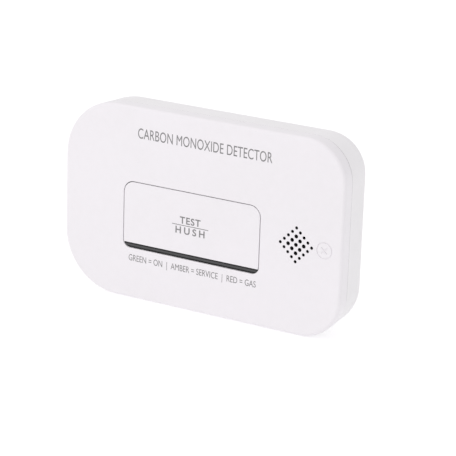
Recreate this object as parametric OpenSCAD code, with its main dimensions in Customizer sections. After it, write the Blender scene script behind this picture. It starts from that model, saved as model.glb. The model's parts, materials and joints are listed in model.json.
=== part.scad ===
// Battery carbon monoxide alarm for a wall, with its wall plate.
// Every module is drawn lying on its back: x to the right, y up the wall and z out of the wall
// towards the front. stand() then turns it upright, so the wall is the plane y = 0.

/* [Case] */
// Width of the front face
case_w = 120; // [116:1:150]
// Height of the front face
case_h = 76; // [74:1:96]
// From the wall to the front face
case_depth = 27; // [27:0.5:34]
// Radius of the two left corners of the front face
left_r = 23; // [19:0.5:25]
// Radius of the two right corners of the front face
right_r = 16.5; // [15.5:0.5:21]
// Thickness of the case walls
wall = 2; // [1.8:0.1:2.4]
// How far the front cover reaches back from its face
rim_depth = 6; // [5.5:0.5:7]
// Radius round the back edge of the rear housing
back_round = 12; // [10:0.5:13]
// Radius round the edge of the front face
edge_r = 1.2; // [0.6:0.1:1.6]
// Lean of the case sides, in degrees
draft = 2.5; // [1:0.5:3.5]
// Shadow gap between the cover and the housing
seam_gap = 0.35; // [0.2:0.05:0.5]

/* [Test button] */
// Width of the window for the button and the indicator bar
window_w = 59.5; // [49:0.5:62]
// Height of that window
window_h = 26.6; // [25:0.2:32]
// Corner radius at the top of the window
window_r = 4.5; // [3:0.5:6]
// Window centre, left of the middle of the case
window_shift = 3.7; // [2:0.1:5]
// Top edge of the window above the middle of the case
window_top = 8.75; // [7:0.25:11]
// Gap round the button
button_gap = 0.35; // [0.3:0.05:0.5]
// Thickness of the button
button_t = 1.8; // [1.5:0.1:2]
// Radius of the button's pivot pins
button_pin_r = 1; // [0.8:0.1:1.1]
// Play round the pivot pins
pin_play = 0.05; // [0.03:0.01:0.09]
// Travel of the switch plunger
switch_travel = 0.5; // [0.3:0.1:0.6]

/* [Indicator bar] */
// Height of the smoked bar below the button
bar_h = 1.7; // [1.4:0.1:2.2]
// How far the bar lies below the front face
bar_drop = 0.35; // [0.2:0.05:0.6]
// Distance between neighbouring lights
light_pitch = 20; // [14:1:20]

/* [Grille] */
// Distance between neighbouring grille holes
hole_pitch = 2.29; // [2:0.01:2.8]
// Radius of the outer grille holes
hole_r = 0.62; // [0.4:0.02:0.7]
// Radius of the middle grille holes
mid_hole_r = 0.78; // [0.5:0.02:0.85]
// Grille centre from the right side of the case
grille_inset = 19; // [17:0.5:20]
// Grille centre below the middle of the case
grille_drop = 3.1; // [2:0.1:6]
// Radius of the ring sunk into the face beside the grille
mark_r = 3.2; // [2.6:0.1:3.4]

/* [Batteries] */
// Diameter of one cell
cell_d = 14.5; // [14:0.1:14.8]
// Length of one cell over its contacts
cell_len = 50.5; // [49:0.5:51]
// Thickness of the battery door
door_t = 1.6; // [1.4:0.1:1.8]
// Radius of the door's pivot pins
door_pin_r = 0.7; // [0.5:0.05:0.8]

/* [Wall plate] */
// Thickness of the wall plate
plate_t = 3; // [2.8:0.1:3.4]
// Height of the wall plate
plate_h = 50; // [36:1:54]
// Width of the rails along the sides of the plate
rail_w = 2; // [1.5:0.1:2.5]
// Play between the plate and the housing
slide_gap = 0.3; // [0.2:0.05:0.35]
// Distance between the two wall screws
screw_spacing = 40; // [30:1:44]
// Radius of the wall screw holes
wall_hole_r = 2.2; // [1.8:0.1:2.5]

/* [Electronics] */
// Thickness of the circuit board
board_t = 1.6; // [1:0.1:1.6]
// Room between the board and the front wall
front_room = 4.2; // [4.2:0.1:4.6]
// Outer radius of the sounder
sounder_r = 12; // [10:0.5:12]
// Length of the sounder
sounder_len = 10; // [8:0.5:12]
// Radius of the gas sensor's can
sensor_r = 9.3; // [7:0.1:9.3]
// Length of the gas sensor's can
sensor_len = 10.2; // [8:0.1:11]

/* [Hidden] */
$fn = 64;
eps = 0.01;

half_w = case_w / 2;
half_h = case_h / 2;
front_in = case_depth - wall;
seam_z = case_depth - rim_depth;

// The housing stops just short of the wall, and a small step hides the seam
back_gap = 0.4;
seam_step = 0.15;
tongue_t = 0.9;
tongue_h = 1.3;
fit_gap = 0.15;

// Sections of the case are measured outwards from the outline of the front face, and reach this
// far in; the fillet round the back has its centre at fillet_x and fillet_z
section_in = min(left_r, right_r);
fillet_z = back_gap + back_round;
fillet_x = side_x(fillet_z) - seam_step - back_round / cos(draft);

// Levels behind the front wall
board_front = front_in - front_room;
board_back = board_front - board_t;

// Battery bay
cell_gap = 0.3;
cell_pitch = cell_d + 0.5;
contact_t = 0.4;
dimple_h = 0.5;
spring_len = 3.3;
bay_wall = 1.4;
bay_x0 = -half_w - fillet_x - 0.05;
bay_x1 = bay_x0 + cell_pitch + cell_d + 2 * cell_gap;
bay_half = (cell_len + spring_len + 2 * contact_t + dimple_h + 0.1) / 2;
bay_r = 2.5;
door_in = back_gap + door_t;
cell_lift = 0.8;
cell_z = door_in + cell_lift + cell_d / 2;
bay_top = cell_z + cell_d / 2 + cell_gap;
cell_xs = [bay_x0 + cell_gap + cell_d / 2, bay_x0 + cell_gap + cell_d / 2 + cell_pitch];
cell_top = bay_half - contact_t - dimple_h - 0.1;

// Battery door, hinged along its top edge
door_gap = 0.3;
door_r = 5;
opening_half = bay_half + 0.25;
door_foot = door_gap - opening_half;
door_top = bay_half - 3.9;
door_x0 = bay_x0 + door_gap;
door_x1 = bay_x1 - door_gap;
door_edge_r = 1.1;
door_axis_y = door_top - door_edge_r;
door_axis_z = back_gap + door_edge_r;
door_pin_len = 1.2;
grip_w = 16;

// Wall plate and the channel that it slides in
rail_z = 1.8;
lip_z = rail_z - slide_gap;
channel_z = plate_t + slide_gap;
channel_floor = 1.8;
plate_x0 = bay_x1 + bay_wall + 3.25;
plate_x1 = half_w - 18;
plate_mid = (plate_x0 + plate_x1) / 2;
sink_h = 1.6;
sink_grow = 2;
label_w = 44;
label_h = 18;
label_y = 4;
label_t = 0.1;

// Case screws: [x, y]
screw_spots = [[-half_w + 7.3, 0],
               [plate_x0 + 5, half_h - 9.5], [plate_x0 + 5, -half_h + 9.5],
               [half_w - 13, half_h - 16], [half_w - 13, -half_h + 16]];
screw_r = 1.25;
pilot_r = screw_r + 0.05;
screw_hole_r = 1.6;
screw_head_r = 2.5;
screw_head_h = 2;
screw_seat = 6;
screw_len = 10;
pocket_r = 2.9;
tube_r = 3.8;
tube_end = 8.4;
post_r = 2.6;
post_end = tube_end + 0.2;

// Button and its pivot
window_x = -window_shift;
window_y = window_top - window_h / 2;
window_bottom = window_top - window_h;
window_foot_r = 3.2;
bar_gap = 0.2;
button_bottom = window_bottom + bar_h + 2 * bar_gap + 0.1;
button_back = case_depth - button_t;
pivot_y = window_top - 1.6;
pivot_z = front_in - 1.4;
arm_t = 1.8;
arm_inset = window_r + 0.4;
lug_gap = 1.6;
lug_t = 2;

// Test switch, below the pivot
switch_y = pivot_y - 15.4;
switch_side = 6;
switch_h = 2.5;
plunger_r = 1.65;
press_r = 2.2;
plunger_top = button_back - 0.9;
plunger_foot = board_front + 1.8;

// Three lights along the bar
bar_y = window_bottom + bar_gap + bar_h / 2;
bar_foot = 0.8;
light_xs = [window_x - light_pitch, window_x, window_x + light_pitch];
guide_r = 1.45;
led_h = 0.8;
baffle_top = front_in - 1.3;

// Grille and sounder
grille_x = half_w - grille_inset;
grille_y = -grille_drop;
mark_x = half_w - 7.3;
mark_line = 0.35;
mark_depth = 0.2;
gasket_t = 0.65;
mesh_t = 0.15;
sounder_front = front_in - mesh_t - gasket_t - 0.1;
sounder_back = sounder_front - sounder_len;
disc_z = sounder_back + 4.5;
lead_rise = 2.5;
disc_r = sounder_r - 1.2;
ring_gap = 0.2;
ring_t = 1.2;
ring_h = 5;

// Circuit board outline and fixings
board_x0 = -half_w + 10;
board_x1 = grille_x - 14.5;
board_step_x = bay_x1 + bay_wall + 0.3;
board_half = half_h - 14;
board_wide_half = bay_half + 1.9;
board_screw_y = board_half - 2.2;
board_screw_x = board_x1 - 4;
peg_x = board_x0 + 4;
boss_r = 2.4;
peg_r = 1;
board_screw_r = 0.75;

// Pitches of chip legs and of the rows of small parts
leg_pitch = 1.27;
row_pitch = 2.6;

// Four-way header along the right edge of the board
header_in = 4;
header_y = 2.4;
header_pitch = 2.54;
header_w = 2.5;
pin_w = 0.64;
pin_len = 7;

// Gas sensor, behind the board
sensor_base_grow = 0.7;
sensor_x = board_x1 - header_in - 1 - sensor_base_grow - sensor_r;
sensor_base_h = 1.8;
sensor_pin_out = 6;
sensor_pin_r = 0.4;
sensor_top = board_back - sensor_base_h;
sensor_wall = 0.6;
sensor_inlet_r = 2;

// Where the leaning side of the case is at a height z
function side_x(z) = (z - case_depth) * tan(draft);

// Turns a piece from lying on its back to hanging on the wall
module stand() {
    rotate([90, 0, 0]) children();
}

module round_rect(w, h, r) {
    square([w - 2 * r, h], center = true);
    square([w, h - 2 * r], center = true);
    for (x = [-1, 1], y = [-1, 1])
        translate([x * (w / 2 - r), y * (h / 2 - r)]) circle(r = r);
}

// Rectangle from corner p to corner q with rounded corners
module round_box(p, q, r) {
    translate([(p.x + q.x) / 2, (p.y + q.y) / 2]) round_rect(q.x - p.x, q.y - p.y, r);
}

// Outline of the window, with smaller corners at its foot; grow moves it outwards
module window_outline(grow) {
    w = window_w + 2 * grow;
    top_r = window_r + grow;
    foot_r = window_foot_r + grow;
    translate([window_x, window_y]) {
        translate([-w / 2, -window_h / 2 + window_foot_r]) square([w, window_h - window_r - window_foot_r]);
        translate([-w / 2 + top_r, 0]) square([w - 2 * top_r, window_h / 2 + grow]);
        translate([-w / 2 + foot_r, -window_h / 2 - grow]) square([w - 2 * foot_r, window_h / 2 + grow]);
        for (x = [-1, 1]) {
            translate([x * (w / 2 - top_r), window_h / 2 - window_r]) circle(r = top_r);
            translate([x * (w / 2 - foot_r), -window_h / 2 + window_foot_r]) circle(r = foot_r);
        }
    }
}

// Carries a section round the case
module case_ring() {
    radii = [right_r, left_r, left_r, right_r];
    for (k = [0 : 3]) {
        r = radii[k];
        next_r = radii[(k + 3) % 4];
        along = k % 2 == 0 ? [half_w, half_h] : [half_h, half_w];
        rotate(90 * k) translate([along.x, along.y - r, 0]) {
            translate([-r, 0, 0]) rotate_extrude(angle = 90) translate([r, 0]) children();
            rotate([90, 0, 0]) linear_extrude(height = 2 * along.y - r - next_r) children();
        }
    }
}

// Fills the middle of the case between two heights
module case_middle(z0, z1) {
    translate([section_in - half_w, section_in - half_h, z0])
        cube([case_w - 2 * section_in, case_h - 2 * section_in, z1 - z0]);
}

// Section of the rear housing, drawn in by inset, up to height top and in as far as reach
module housing_section(inset, top, reach) {
    r = back_round - inset;
    z0 = back_gap + inset;
    polygon([[-reach, z0], [fillet_x, z0], [fillet_x + r * cos(draft), fillet_z - r * sin(draft)],
             [side_x(top) - seam_step - inset / cos(draft), top], [-reach, top]]);
    intersection() {
        translate([fillet_x, fillet_z]) circle(r = r);
        translate([-reach, z0]) square([reach, top - z0]);
    }
}

module housing_wall_section() {
    seam_top = seam_z - seam_gap;
    difference() {
        housing_section(0, seam_top, section_in);
        housing_section(wall, seam_top + 1, section_in + 1);
        translate([-section_in - 1, seam_top - tongue_h - fit_gap])
            square([section_in + 1 + side_x(seam_z) - wall + tongue_t + fit_gap, tongue_h + 1]);
    }
}

// The space inside the housing's outer surface drawn in by inset, up to height top
module case_fill(inset, top) {
    case_ring() housing_section(inset, top, section_in);
    case_middle(back_gap + inset, top);
}

// Section of the front cover's wall, face and tongue
module cover_wall_section() {
    cz = case_depth - edge_r;
    cx = side_x(cz) - edge_r / cos(draft);
    difference() {
        union() {
            polygon([[-section_in, seam_z], [side_x(seam_z), seam_z],
                     [cx + edge_r * cos(draft), cz - edge_r * sin(draft)],
                     [cx, case_depth], [-section_in, case_depth]]);
            translate([cx, cz]) circle(r = edge_r);
        }
        polygon([[-section_in - 1, seam_z - 1], [side_x(seam_z - 1) - wall, seam_z - 1],
                 [side_x(front_in) - wall, front_in], [-section_in - 1, front_in]]);
    }
    translate([side_x(seam_z) - wall, seam_z - seam_gap - tongue_h])
        square([tongue_t, tongue_h + seam_gap + 0.5]);
}

// Tube for a case screw, from the back of the housing
module screw_tube(spot, z0, r) {
    translate([spot.x, spot.y, z0]) cylinder(r = r, h = tube_end - z0);
}

module wall_plate() {
    color("gainsboro") stand() difference() {
        union() {
            translate([0, 0, rail_z]) linear_extrude(height = plate_t - rail_z)
                round_box([plate_x0, -plate_h / 2], [plate_x1, plate_h / 2], 3);
            linear_extrude(height = rail_z + eps)
                round_box([plate_x0 + rail_w, -plate_h / 2], [plate_x1 - rail_w, plate_h / 2], 2);
        }
        // Countersunk holes for the two wall screws
        for (x = [plate_mid - screw_spacing / 2, plate_mid + screw_spacing / 2])
            translate([x, 0, 0]) {
                translate([0, 0, -1]) cylinder(r = wall_hole_r, h = plate_t + 2);
                translate([0, 0, plate_t - sink_h])
                    cylinder(r1 = wall_hole_r, r2 = wall_hole_r + sink_grow, h = sink_h + eps);
            }
        // Pockets that lighten the plate, and an arrow that points up
        for (x = [plate_mid - 16, plate_mid + 16], y = [-1, 1])
            translate([x, y * (plate_h / 2 - 9.5), rail_z])
                linear_extrude(height = plate_t) round_rect(18, 9, 2);
        translate([plate_mid, 7, plate_t - 0.5])
            linear_extrude(height = 1) polygon([[-4, 0], [4, 0], [0, 7]]);
        translate([plate_mid - 1.2, -8, plate_t - 0.5]) cube([2.4, 16, 1]);
    }
}

// Outline of the battery door: rounded at its foot, square at its hinge; grow moves it outwards
module door_outline(grow) {
    round_box([door_x0 - grow, door_foot - grow], [door_x1 + grow, 0], door_r - door_gap + grow);
    translate([door_x0 - grow, -door_r]) square([door_x1 - door_x0 + 2 * grow, door_top + door_r + grow]);
}

module housing_body() {
    case_ring() housing_wall_section();
    case_middle(back_gap, back_gap + wall);
    // What is inside stays just within the outer surface
    intersection() {
        case_fill(0.1, seam_z);
        housing_blocks();
    }
}

module housing_blocks() {
    floor_z0 = back_gap + wall - 0.05;
    // Walls of the battery bay
    translate([0, 0, floor_z0]) linear_extrude(height = bay_top + bay_wall - floor_z0)
        round_box([bay_x0 - bay_wall, -bay_half - bay_wall], [bay_x1 + bay_wall, bay_half + bay_wall],
                  bay_r + bay_wall);
    // Floor and sides of the channel for the wall plate
    translate([plate_x0 - slide_gap - wall, -half_h, floor_z0])
        cube([plate_x1 - plate_x0 + 2 * (slide_gap + wall), half_h + plate_h / 2 + slide_gap + wall,
              channel_z + channel_floor - floor_z0]);
    // Tubes for the case screws: the left one is slimmer, where the side is close
    for (k = [1 : 4]) screw_tube(screw_spots[k], floor_z0 - 0.35, tube_r);
    screw_tube(screw_spots[0], floor_z0, post_r + 0.6);
}

module rear_housing() {
    color("whitesmoke") stand() difference() {
        housing_body();
        // Battery bay and its opening
        translate([0, 0, door_in]) linear_extrude(height = bay_top - door_in)
            round_box([bay_x0, -bay_half], [bay_x1, bay_half], bay_r);
        linear_extrude(height = door_in + 1) door_outline(door_gap);
        // Bores for the door's pivot pins
        translate([bay_x0 - door_pin_len, door_axis_y, door_axis_z]) rotate([0, 90, 0])
            cylinder(r = door_pin_r + pin_play, h = bay_x1 - bay_x0 + 2 * door_pin_len, $fn = 32);
        // Finger scoop below the door
        translate([(bay_x0 + bay_x1) / 2, -opening_half, back_gap])
            cylinder(r = 5, h = 2.6, center = true);
        // Slots for the contact tabs
        for (x = cell_xs)
            translate([x - 1.5, -bay_half - 0.1, bay_top - 1]) cube([3, contact_t + 0.3, bay_wall + 2]);
        // Channel for the wall plate, open at the bottom of the case
        translate([plate_x0 - slide_gap, -half_h - 1, lip_z])
            cube([plate_x1 - plate_x0 + 2 * slide_gap, half_h + 1 + plate_h / 2 + slide_gap,
                  channel_z - lip_z]);
        translate([plate_x0 + rail_w - slide_gap, -half_h - 1, -1])
            cube([plate_x1 - plate_x0 - 2 * (rail_w - slide_gap), half_h + 1 + plate_h / 2 + slide_gap,
                  lip_z + 1 + eps]);
        translate([plate_mid - label_w / 2, label_y, channel_z - eps])
            cube([label_w, label_h, label_t + 2 * eps]);
        // Case screws
        for (spot = screw_spots) translate([spot.x, spot.y, -1]) {
            cylinder(r = pocket_r, h = screw_seat + 1);
            cylinder(r = screw_hole_r, h = tube_end + 2);
        }
        // Air slots along the underside
        for (k = [0 : 7])
            translate([-4 + 5 * k, -half_h - 1, 10.5]) cube([1.8, 5, 6.5]);
    }
}

module pivot_lug(x) {
    difference() {
        translate([x, pivot_y - 2.2, pivot_z - 1.6]) cube([lug_t, 4.4, front_in - pivot_z + 1.6 + eps]);
        translate([x - 1, pivot_y, pivot_z]) rotate([0, 90, 0])
            cylinder(r = button_pin_r + pin_play, h = lug_t + 2, $fn = 32);
    }
}

module cover_body() {
    case_ring() cover_wall_section();
    case_middle(front_in, case_depth);
    // Posts for the case screws
    for (spot = screw_spots)
        translate([spot.x, spot.y, post_end]) cylinder(r = post_r, h = front_in - post_end + eps);
    // Bosses and pegs for the circuit board
    for (y = [-board_screw_y, board_screw_y]) {
        translate([board_screw_x, y, board_front]) cylinder(r = boss_r, h = front_room + eps);
        translate([peg_x, y, board_front]) cylinder(r = boss_r, h = front_room + eps);
        translate([peg_x, y, board_back]) cylinder(r = peg_r, h = board_t + 1);
    }
    // Ring round the sounder
    translate([grille_x, grille_y, front_in - ring_h]) difference() {
        cylinder(r = sounder_r + ring_gap + ring_t, h = ring_h + eps);
        translate([0, 0, -1]) cylinder(r = sounder_r + ring_gap, h = ring_h + 1);
    }
    // Bearings for the button's pivot pins
    pivot_lug(window_x - window_w / 2 + button_gap - lug_gap - lug_t);
    pivot_lug(window_x + window_w / 2 - button_gap + lug_gap);
}

// Shallow ring with a small cross in it, sunk into the front face
module face_mark() {
    translate([mark_x, grille_y, case_depth - mark_depth]) {
        difference() {
            cylinder(r = mark_r, h = 1);
            translate([0, 0, -1]) cylinder(r = mark_r - mark_line, h = 3);
        }
        for (a = [45, 135]) rotate(a)
            translate([-mark_r / 2, -mark_line / 2, 0]) cube([mark_r, mark_line, 1]);
    }
}

module front_cover() {
    color("white") stand() difference() {
        cover_body();
        translate([0, 0, front_in - 1]) linear_extrude(height = wall + 2) window_outline(0);
        // Grille: five by five holes on a grid turned by 45 degrees
        translate([grille_x, grille_y, front_in - 1]) rotate(45) for (i = [-2 : 2], j = [-2 : 2])
            translate([i * hole_pitch, j * hole_pitch, 0])
                cylinder(r = max(abs(i), abs(j)) < 2 ? mid_hole_r : hole_r, h = wall + 2, $fn = 24);
        face_mark();
        for (spot = screw_spots)
            translate([spot.x, spot.y, post_end - 1]) cylinder(r = pilot_r, h = screw_len, $fn = 32);
        for (y = [-board_screw_y, board_screw_y])
            translate([board_screw_x, y, board_front - 1])
                cylinder(r = board_screw_r + 0.05, h = 4.4, $fn = 32);
    }
}

// The fillet round the back of the case in short straight steps, for the foot of the door
module door_skin() {
    steps = [for (a = [0 : 5 : 35]) [fillet_x + back_round * sin(a), fillet_z - back_round * cos(a)]];
    top = steps[len(steps) - 1].y;
    case_ring() polygon(concat([[-section_in, back_gap]], steps, [[-section_in, top]]));
    case_middle(back_gap, top);
}

module battery_door() {
    mid_x = (door_x0 + door_x1) / 2;
    color("whitesmoke") stand() difference() {
        union() {
            // The foot of the door follows the fillet round the back of the housing
            intersection() {
                door_skin();
                translate([0, 0, back_gap - 1]) linear_extrude(height = door_t + 1) intersection() {
                    door_outline(0);
                    translate([door_x0 - 1, door_foot - 1])
                        square([door_x1 - door_x0 + 2, door_axis_y - door_foot + 1]);
                }
            }
            // Rounded top edge, no thicker than the door, with a pin at each end
            intersection() {
                translate([door_x0, door_axis_y, door_axis_z]) rotate([0, 90, 0])
                    cylinder(r = door_edge_r, h = door_x1 - door_x0);
                translate([door_x0, door_axis_y - door_t, back_gap])
                    cube([door_x1 - door_x0, 2 * door_t, door_t]);
            }
            translate([door_x0 - door_pin_len - 0.1, door_axis_y, door_axis_z]) rotate([0, 90, 0])
                cylinder(r = door_pin_r, h = door_x1 - door_x0 + 2 * door_pin_len + 0.2, $fn = 32);
        }
        // Grip grooves
        for (k = [0 : 4])
            translate([mid_x - grip_w / 2, door_foot + 3.5 + 2 * k, back_gap - 0.5]) cube([grip_w, 0.8, 1]);
    }
}

module test_button() {
    color("white") stand() {
        difference() {
            translate([0, 0, button_back]) linear_extrude(height = button_t) intersection() {
                window_outline(-button_gap);
                translate([window_x - window_w, button_bottom]) square([2 * window_w, window_h]);
            }
            // Hollow behind the face
            translate([window_x - window_w / 2 + arm_inset + arm_t + 1, button_bottom + 3, button_back - 1])
                cube([window_w - 2 * (arm_inset + arm_t + 1), window_top - button_bottom - 8, 1.5]);
        }
        // Arms with pivot pins
        for (side = [-1, 1]) {
            arm_x = window_w / 2 - arm_inset - arm_t / 2;
            pin_end = window_w / 2 - button_gap + lug_gap + lug_t - 0.2;
            translate([window_x + side * arm_x - arm_t / 2, pivot_y - 1.3, pivot_z - 1.2])
                cube([arm_t, 2.4, button_back - pivot_z + 1.2 + eps]);
            translate([window_x + side * arm_x, pivot_y, pivot_z]) rotate([0, side * 90, 0])
                cylinder(r = button_pin_r, h = pin_end - arm_x, $fn = 32);
        }
        // Boss that presses the switch
        translate([window_x, switch_y, plunger_top + 0.1])
            cylinder(r = press_r, h = button_back - plunger_top + 0.6);
    }
}

module indicator_bar() {
    color("dimgray") stand() {
        intersection() {
            translate([0, 0, front_in - 0.4]) linear_extrude(height = wall + 0.4 - bar_drop) intersection() {
                window_outline(-bar_gap);
                translate([window_x - window_w, window_bottom]) square([2 * window_w, bar_gap + bar_h]);
            }
            translate([window_x - window_w, bar_y, case_depth - bar_drop - bar_h * 1.3]) rotate([0, 90, 0])
                cylinder(r = bar_h * 1.3, h = 2 * window_w);
        }
        // Flange behind the front wall
        translate([window_x - window_w / 2 - 1.2, window_bottom - bar_foot, front_in - 1.1])
            cube([window_w + 2.4, bar_foot + bar_gap + bar_h, 1]);
    }
}

module light_baffle() {
    color("black") stand() difference() {
        translate([light_xs[0] - 3.6, bar_y - 2.2, board_front + 0.05])
            cube([2 * light_pitch + 7.2, 4.3, baffle_top - board_front - 0.05]);
        for (x = light_xs)
            translate([x, bar_y, board_front - 1]) cylinder(r = guide_r + 0.05, h = 6, $fn = 32);
    }
}

module light_guides() {
    color("lightcyan") stand() for (x = light_xs)
        translate([x, bar_y, board_front + led_h + 0.3])
            cylinder(r = guide_r, h = front_in - 1.2 - board_front - led_h - 0.3, $fn = 32);
}

module led(x, shade) {
    color(shade) stand() translate([x - 1, bar_y - 0.6, board_front]) {
        cube([2, 1.2, led_h * 0.5]);
        translate([0.3, 0, 0]) cube([1.4, 1.2, led_h]);
    }
}

module power_led() { led(light_xs[0], "limegreen"); }

module fault_led() { led(light_xs[1], "gold"); }

module alarm_led() { led(light_xs[2], "red"); }

module main_board() {
    color("darkgreen") stand() difference() {
        translate([0, 0, board_back]) linear_extrude(height = board_t) {
            round_box([board_x0, -board_wide_half], [board_step_x, board_wide_half], 2);
            round_box([board_step_x - 6, -board_half], [board_x1, board_half], 1.5);
        }
        for (y = [-board_screw_y, board_screw_y]) {
            translate([board_screw_x, y, board_back - 1]) cylinder(r = 1.1, h = board_t + 2, $fn = 32);
            translate([peg_x, y, board_back - 1]) cylinder(r = peg_r + 0.1, h = board_t + 2, $fn = 32);
        }
        for (x = cell_xs)
            translate([x - 1.5, -bay_half - 0.1, board_back - 1]) cube([3, contact_t + 0.3, board_t + 2]);
        for (a = [90, 210, 330])
            translate([sensor_x, 0, board_back - 1]) rotate(a) translate([sensor_pin_out, 0, 0])
                cylinder(r = sensor_pin_r + 0.1, h = board_t + 2, $fn = 24);
    }
}

module board_screws() {
    color("silver") stand() for (y = [-board_screw_y, board_screw_y])
        translate([board_screw_x, y, board_back]) {
            translate([0, 0, -1.2]) difference() {
                cylinder(r = 1.9, h = 1.2, $fn = 32);
                cross_slot(2.2, 0.5, 0.6);
            }
            translate([0, 0, -eps]) cylinder(r = board_screw_r, h = board_t + 2.6, $fn = 32);
        }
}

// Cross recess cut upwards into a screw head
module cross_slot(reach, width, deep) {
    translate([-reach / 2, -width / 2, -1]) cube([reach, width, 1 + deep]);
    translate([-width / 2, -reach / 2, -1]) cube([width, reach, 1 + deep]);
}

module switch_body() {
    color("dimgray") stand() difference() {
        translate([window_x - switch_side / 2, switch_y - switch_side / 2, board_front])
            cube([switch_side, switch_side, switch_h]);
        translate([window_x, switch_y, plunger_foot - switch_travel - 0.2])
            cylinder(r = plunger_r + 0.05, h = 6);
    }
}

module switch_plunger() {
    color("black") stand() translate([window_x, switch_y, plunger_foot])
        cylinder(r = plunger_r, h = plunger_top - plunger_foot);
}

// Chip with legs along two sides, centred on x and y
module chip(body_l, body_w, body_h, legs, pitch) {
    translate([-body_l / 2, -body_w / 2, 0.1]) cube([body_l, body_w, body_h - 0.1]);
    for (k = [0 : legs - 1], side = [-1, 1])
        translate([(k - (legs - 1) / 2) * pitch - 0.2, side * (body_w / 2 + 0.35) - 0.45, 0])
            cube([0.4, 0.9, body_h / 2]);
}

module microcontroller() {
    color("black") stand() translate([board_screw_x - 12, board_screw_y - 5, board_front])
        chip(10, 5.3, 1.7, 8, leg_pitch);
}

module amplifier_chip() {
    color("black") stand() translate([window_x + window_w / 2 - 6.55, 4, board_front])
        chip(5, 4, 1.5, 4, leg_pitch);
}

// Two-ended chip parts in rows on the front of the board
module chip_row(x, y, count, pitch, tall) {
    for (k = [0 : count - 1])
        translate([x + k * pitch, y, board_front]) cube([1.2, 2, tall]);
}

module chip_resistors() {
    color("darkslategray") stand() {
        chip_row(window_x - 4, board_screw_y - 6, 5, row_pitch, 0.55);
        chip_row(window_x + 5, switch_y - 1, 4, row_pitch, 0.55);
    }
}

module chip_capacitors() {
    color("burlywood") stand() {
        chip_row(window_x - 24, board_screw_y - 6, 5, row_pitch, 1.1);
        chip_row(window_x - 24, switch_y, 4, row_pitch, 1.1);
    }
}

module reservoir_capacitor() {
    color("midnightblue") stand() translate([plate_x0 + 3, 16, board_back - 11]) {
        cylinder(r = 3.15, h = 2.2);
        translate([0, 0, 2.2]) cylinder(r = 2.9, h = 0.6);
        translate([0, 0, 2.8]) cylinder(r = 3.15, h = 8.2);
    }
}

module sounder_coil() {
    color("saddlebrown") stand() translate([plate_x0 + 3, -14, board_back - 8]) {
        cylinder(r = 4, h = 1);
        translate([0, 0, 1]) cylinder(r = 3.2, h = 6);
        translate([0, 0, 7]) cylinder(r = 4, h = 1);
    }
}

// Square pin k of the header, from the back of the board
module header_pin(k, w, long) {
    translate([board_x1 - header_in + header_w / 2 - w / 2, header_y + (k + 0.5) * header_pitch - w / 2,
               board_back - long])
        cube([w, w, long]);
}

module service_header() {
    color("black") stand() difference() {
        translate([board_x1 - header_in, header_y, board_back - header_w])
            cube([header_w, 4 * header_pitch, header_w]);
        for (k = [0 : 3]) header_pin(k, pin_w + 0.06, header_w + 1);
    }
}

module header_pins() {
    color("goldenrod") stand() for (k = [0 : 3]) header_pin(k, pin_w, pin_len);
}

module sensor_base() {
    color("black") stand() translate([sensor_x, 0, sensor_top])
        cylinder(r = sensor_r + sensor_base_grow, h = sensor_base_h);
}

module sensor_can() {
    color("silver") stand() translate([sensor_x, 0, sensor_top - sensor_len]) rotate_extrude()
        polygon([[sensor_inlet_r, 0], [sensor_r, 0], [sensor_r, sensor_len],
                 [sensor_r - sensor_wall, sensor_len], [sensor_r - sensor_wall, 0.8], [sensor_inlet_r, 0.8]]);
}

module sensor_filter() {
    color("white") stand() translate([sensor_x, 0, sensor_top - sensor_len + 0.8])
        cylinder(r = sensor_r - sensor_wall - 0.1, h = 2);
}

module sensor_cell() {
    color("darkslategray") stand() translate([sensor_x, 0, sensor_top - sensor_len + 2.9])
        cylinder(r = sensor_r - sensor_wall - 0.1, h = sensor_len - 3);
}

module sensor_pins() {
    color("gold") stand() for (a = [90, 210, 330])
        translate([sensor_x, 0, board_back]) rotate(a) translate([sensor_pin_out, 0, 0])
            cylinder(r = sensor_pin_r, h = board_t + 0.8, $fn = 24);
}

module sounder_case() {
    r = sounder_r;
    step_z = disc_z - sounder_back;
    color("black") stand() difference() {
        translate([grille_x, grille_y, sounder_back]) rotate_extrude()
            polygon([[r - 1.1, 0], [r, 0], [r, sounder_len], [2.2, sounder_len], [2.2, sounder_len - 1],
                     [r - 2.5, sounder_len - 1], [r - 2.5, step_z + 0.3], [r - 1.1, step_z + 0.3]]);
        for (k = [-1, 1])
            translate([grille_x - r - 1, grille_y + k, sounder_back + lead_rise]) rotate([0, 90, 0])
                cylinder(r = 0.55, h = 3, $fn = 24);
    }
}

module sounder_cap() {
    color("dimgray") stand() translate([grille_x, grille_y, sounder_back + 0.2]) cylinder(r = disc_r, h = 1);
}

module sounder_disc() {
    color("goldenrod") stand() translate([grille_x, grille_y, disc_z]) cylinder(r = disc_r, h = 0.3);
}

module sounder_ceramic() {
    color("white") stand() translate([grille_x, grille_y, disc_z - 0.25])
        cylinder(r = disc_r * 2 / 3, h = 0.25);
}

module sounder_gasket() {
    color("black") stand() translate([grille_x, grille_y, sounder_front + 0.05]) difference() {
        cylinder(r = sounder_r - 0.1, h = gasket_t);
        translate([0, 0, -1]) cylinder(r = sounder_r - 2.6, h = gasket_t + 2);
    }
}

module dust_mesh() {
    color("darkgray") stand() translate([grille_x, grille_y, front_in - mesh_t])
        cylinder(r = sounder_r - 0.1, h = mesh_t);
}

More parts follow.
